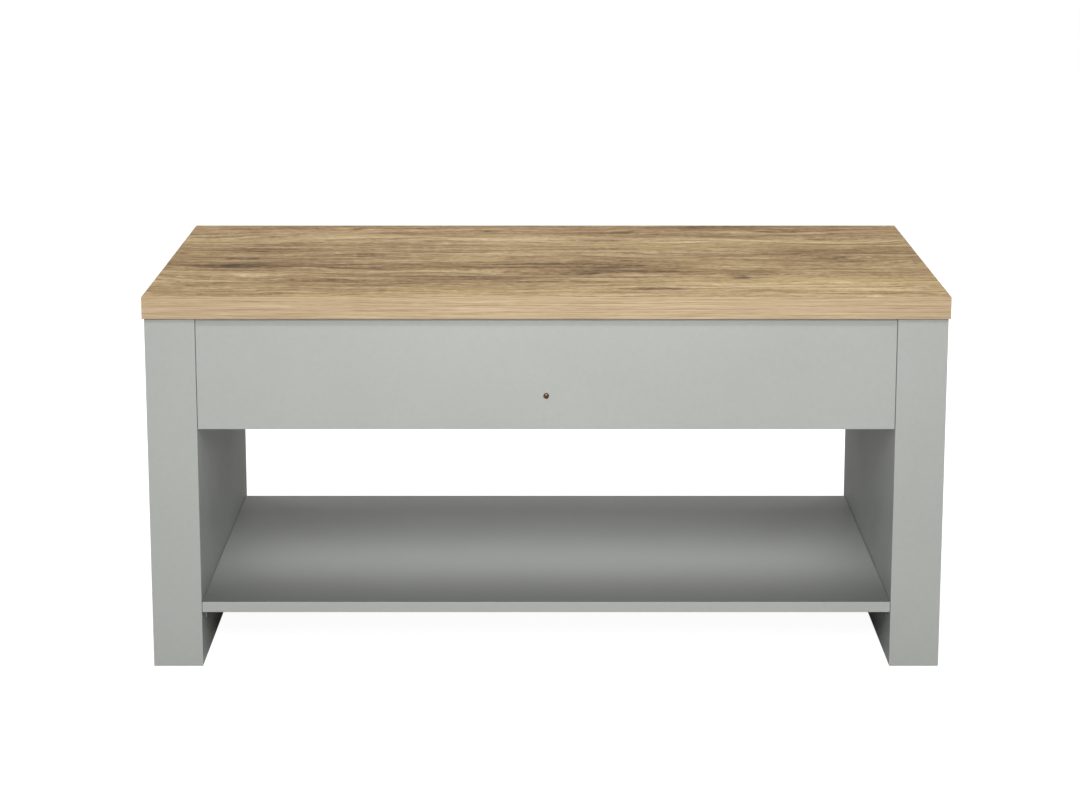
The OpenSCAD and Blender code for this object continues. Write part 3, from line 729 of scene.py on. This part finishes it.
def facing_x(box, head_h):
    """Where a screw or rivet along X stands: its head is at the end nearer the middle."""
    corner_low, corner_high = box
    middle = (corner_low + corner_high) / 2
    side = math.copysign(1, middle.x)
    inner = corner_low.x if side > 0 else corner_high.x
    return Vector((inner + side * head_h, middle.y, middle.z)), Vector((-side, 0, 0))


def facing_down(box, head_h):
    """Where an upright screw stands: its head is at the lower end."""
    corner_low, corner_high = box
    middle = (corner_low + corner_high) / 2
    return Vector((middle.x, middle.y, corner_low.z + head_h)), Vector((0, 0, -1))


def along_its_shank(box, head_h):
    size = box[1] - box[0]
    return facing_x(box, head_h) if size.x > size.z else facing_down(box, head_h)


plate_head_h = 0.002
plate_screw = pan_screw("plate_screw", 0.004, plate_head_h, shank_r=0.002, shank_l=0.012)
small_head_h = 0.0016
small_screw = pan_screw("small_screw", 0.0032, small_head_h, shank_r=0.00175, shank_l=0.010)
for name, node, body, fixing, head_h in (
    ("base_plate_screws", "base_bracket_screws", "carcass", plate_screw, plate_head_h),
    ("top_plate_screws", "top_bracket_screws", "top", plate_screw, plate_head_h),
    ("shelf_angle_screws", "shelf_bracket_screws", "carcass", small_screw, small_head_h),
):
    places = [along_its_shank(box, head_h) for box in islands(node)]
    screws = repeated(name, fixing, places, zinc)
    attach(screws, body)
    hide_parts(node)
eased("divider_rear_screw", "divider_back_screw", 0.0002, zinc)
for fixing in (plate_screw, small_screw):
    bpy.data.objects.remove(fixing)


# ---- Divider's front screw ----
# A small slotted round-head brass screw in a shallow sink, low in the middle of the front
# panel. Its brass is a dark coppery brown, painted lighter in the middle of the head as a
# painted highlight and darker towards the rim as painted shade.

brass = Look("tarnished_brass_painted_rim_shade", Metallic=1.0, Coat_Weight=0.30, Coat_Roughness=0.28)
screw_low, screw_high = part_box("divider_front_screw")
screw_mid = (screw_low + screw_high) / 2
head_r = (screw_high.x - screw_low.x) / 2
brass_x, _, brass_z = brass.axes()
out_from_axis = ((brass_x - screw_mid.x) ** 2.0 + (brass_z - screw_mid.z) ** 2.0) ** 0.5
patina_and_painted_shade = brass.noise((1400.0, 1400.0, 1400.0), Detail=3.0)
# Painted shade and highlight: the head's colour darkens towards its rim and is lighter in its middle,
# standing in for the dome's reflections.
painted_rim_shade = brass.smooth(out_from_axis + patina_and_painted_shade * 0.0006, head_r * 0.72, head_r * 1.12)
brass_colour = brass.mix(painted_rim_shade, linear(126, 90, 60), linear(58, 42, 25))
brass.wear(Base_Color=brass_colour, Roughness=brass.smooth(patina_and_painted_shade, 0.3, 0.7, 0.32, 0.48))
eased("divider_brass_screw", "divider_front_screw", 0.0002, brass.material)


# ---- Feet and buffers ----
# Black moulded glides nailed under the sides, and small clear-white pads that the closed top
# rests on.

def moulded(name, colour, roughness):
    """Moulded plastic or rubber, a little cloudy and finely grained."""
    look = Look(name)
    grain = look.noise((2200.0, 2200.0, 2200.0), Detail=2.0)
    cloud = look.noise((140.0, 140.0, 140.0), Detail=2.0)
    lighter = tuple(min(1.0, channel * 1.25 + 0.004) for channel in colour[:3]) + (1.0,)
    return look.wear(
        Base_Color=look.ramp(cloud, [(0.3, colour), (0.7, lighter)]),
        Roughness=look.smooth(cloud, 0.3, 0.7, roughness - 0.05, roughness + 0.08),
        Height=(grain, 0.2, 0.0001),
    )


nylon = moulded("nylon", linear(226, 225, 218), 0.42)
dress(["floor_glides"], moulded("black_plastic", linear(38, 38, 38), 0.50))
dress(["top_buffers", "base_pivot_washers", "top_pivot_washers"], nylon)
dress(["glide_nails"], zinc)


# ---- Plates and arms of the lift ----
# Pressed steel, 2 and 3 mm thick, powder-coated black: an orange-peel skin that has rubbed
# through to bare metal here and there along the pressed edges.

powder = Look("black_powder_coat", IOR=1.5)
peel = powder.noise((900.0, 900.0, 900.0), Detail=1.5)
smear = powder.noise((34.0, 34.0, 34.0), Detail=3.0)
pressed_edge = powder.node("ShaderNodeAttribute", {"attribute_name": "pressed_edge"}, out="Fac")
rub = powder.noise((210.0, 210.0, 210.0), shift=(7, 7, 7), Detail=3.0)
bare = powder.smooth(pressed_edge + rub * 0.6 + smear * 0.5, 1.54, 1.64)
powder_colour = powder.ramp(smear, [(0.35, linear(38, 39, 41)), (0.70, linear(56, 57, 60))])
powder.wear(
    Base_Color=powder.mix(bare, powder_colour, linear(172, 172, 170)),
    Metallic=bare,
    Roughness=powder.smooth(smear, 0.3, 0.7, 0.40, 0.55),
    Height=(peel, 0.30, 0.0002),
)
for side in ("left", "right"):
    for node in ("base_bracket", "top_bracket", "rear_arm", "front_arm"):
        piece = eased(f"{side}_{node}_steel", f"{side}_{node}", 0.00045, powder.material)
        edges = piece.data.attributes.new("pressed_edge", "FLOAT", "FACE")
        edges.data.foreach_set("value", [
            float(0.15 < abs(face.normal.x) < 0.985) for face in piece.data.polygons
        ])


# ---- Rivets, pins and stops ----
# Zinc-plated rivets with crowned heads that the arms turn on, turned pins that hold the
# springs' hooks, and stop pins in black rubber sleeves that the front arms land on.

def half_rivet(name, shank_r, shank_l, crown_r, crown_h):
    """A rivet's crowned head on z = 0 with a forming dimple, and its shank below."""
    dimple_h = crown_h * 0.80
    flat_r = crown_r * 0.30
    rim_h = crown_h * 0.25
    dimple = [(0, dimple_h), (crown_r * 0.22, dimple_h), (flat_r, crown_h)]
    crown = [
        (flat_r + (crown_r - flat_r) * math.sin(angle), rim_h + (crown_h - rim_h) * math.cos(angle))
        for angle in (math.radians(step) for step in range(15, 91, 15))
    ]
    shank = [(crown_r, 0), (shank_r, 0), (shank_r, -shank_l), (0, -shank_l)]
    return lathe(name, dimple + crown + shank)


def rivets(name, node, body, two_headed):
    """All rivets of a CAD node. A one-headed rivet is set in its plate at the far end."""
    boxes = islands(node)
    shank_r = 0.004
    crown_h = 0.002
    crown_r = (boxes[0][1].y - boxes[0][0].y) / 2
    length = boxes[0][1].x - boxes[0][0].x
    shank_l = length / 2 - crown_h if two_headed else length - crown_h
    template = half_rivet(name + "_template", shank_r, shank_l, crown_r, crown_h)
    places = [facing_x(box, crown_h) for box in boxes]
    if two_headed:
        places += [
            (place - facing * (length - 2 * crown_h), -facing) for place, facing in places
        ]
    piece = repeated(name, template, places, zinc)
    bpy.data.objects.remove(template)
    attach(piece, body)
    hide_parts(node)


rivets("base_rivets", "base_pivot_rivets", "carcass", False)
rivets("top_rivets", "top_pivot_rivets", "top", True)
for node in ("spring_anchor_pins", "stop_pins", "left_arm_spring_pin", "right_arm_spring_pin"):
    eased(node + "_turned", node, 0.0003, zinc)
dress(["stop_sleeves"], moulded("black_rubber", linear(30, 30, 31), 0.62))


# ---- Springs ----
# One extension spring on each side, wound from plated wire with a round hook at each end. It
# is stretched while the top is closed and shortens to help the arms up.

wire = Look("spring_wire", Metallic=1.0)
drawn = wire.noise((240.0, 240.0, 240.0), Detail=3.0)
wire_colour = wire.ramp(drawn, [(0.3, linear(138, 140, 144)), (0.7, linear(196, 198, 202))])
wire.wear(Base_Color=wire_colour, Roughness=wire.smooth(drawn, 0.3, 0.7, 0.22, 0.36))

turns = 18
steps_per_turn = 28
coil_r = 0.006
wire_r = 0.0012
hook_r = 0.0036
hook_l = 0.015
bend_r = 0.003

coil_tree = Tree(
    "wound_wire", Wire_radius="NodeSocketFloat", Sides="NodeSocketInt", Finish="NodeSocketMaterial"
)
centre_line = coil_tree.node("GeometryNodeMeshToCurve", {}, Mesh=coil_tree.given("Geometry"))
section = coil_tree.node(
    "GeometryNodeCurvePrimitiveCircle", {}, Resolution=coil_tree.given("Sides"),
    Radius=coil_tree.given("Wire_radius"),
)
swept = coil_tree.node(
    "GeometryNodeCurveToMesh", {}, Curve=centre_line, Profile_Curve=section, Fill_Caps=True
)
smooth_wire = coil_tree.node("GeometryNodeSetShadeSmooth", {}, Geometry=swept)
coil_tree.finish(coil_tree.node(
    "GeometryNodeSetMaterial", {}, Geometry=smooth_wire, Material=coil_tree.given("Finish")
))


def spring_line(length):
    """The wire's centre line, with the coil's axis along Y and the fixed pin at the origin."""
    def on_coil(along, turn):
        return Vector((coil_r * math.sin(turn), along, coil_r * math.cos(turn)))

    hook = [
        Vector((0, hook_r * math.cos(angle), hook_r * math.sin(angle)))
        for angle in (math.radians(step) for step in range(270, 89, -15))
    ]
    for share in (0.125 * step for step in range(1, 9)):
        lift = hook_r + (coil_r - hook_r) * (1 - math.cos(math.pi * share)) / 2
        hook.append(Vector((0, share * (hook_l - bend_r), lift)))
    bend_turn = bend_r / coil_r
    for angle in (math.radians(step) for step in range(15, 91, 15)):
        along = hook_l - bend_r * (1 - math.sin(angle))
        hook.append(on_coil(along, bend_turn * (1 - math.cos(angle))))
    count = turns * steps_per_turn
    coil = [
        on_coil(
            hook_l + (length - 2 * hook_l) * step / count,
            bend_turn + (math.tau * turns - 2 * bend_turn) * step / count,
        )
        for step in range(1, count)
    ]
    far_hook = [Vector((-point.x, length - point.y, point.z)) for point in reversed(hook)]
    return hook + coil + far_hook


def pin_centre(node, side):
    """The place of a spring's pin on one side, across in the plane of the coil."""
    boxes = [box for box in islands(node) if (box[0].x + box[1].x) * side > 0]
    middle = (boxes[0][0] + boxes[0][1]) / 2
    coil_low, coil_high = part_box("right_spring" if side > 0 else "left_spring")
    return Vector(((coil_low.x + coil_high.x) / 2, middle.y, middle.z))


for side, name in ((-1, "left"), (1, "right")):
    fixed = pin_centre("spring_anchor_pins", side)
    moving = pin_centre(f"{name}_arm_spring_pin", side)
    run = moving - fixed
    line = spring_line(run.length)
    turn = Matrix.Rotation(math.atan2(run.z, run.y), 3, "X")
    mesh = bpy.data.meshes.new(f"{name}_spring_coil")
    places = [fixed + turn @ Vector((point.x * side, point.y, point.z)) for point in line]
    mesh.from_pydata(places, [(i, i + 1) for i in range(len(places) - 1)], [])
    coil = bpy.data.objects.new(f"{name}_spring_coil", mesh)
    bpy.context.scene.collection.objects.link(coil)
    coil_tree.use(coil, Wire_radius=wire_r, Sides=12, Finish=wire.material)
    settle(coil, wire.material)
    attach(coil, f"{name}_spring")
    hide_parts(f"{name}_spring")
    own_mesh(coil)
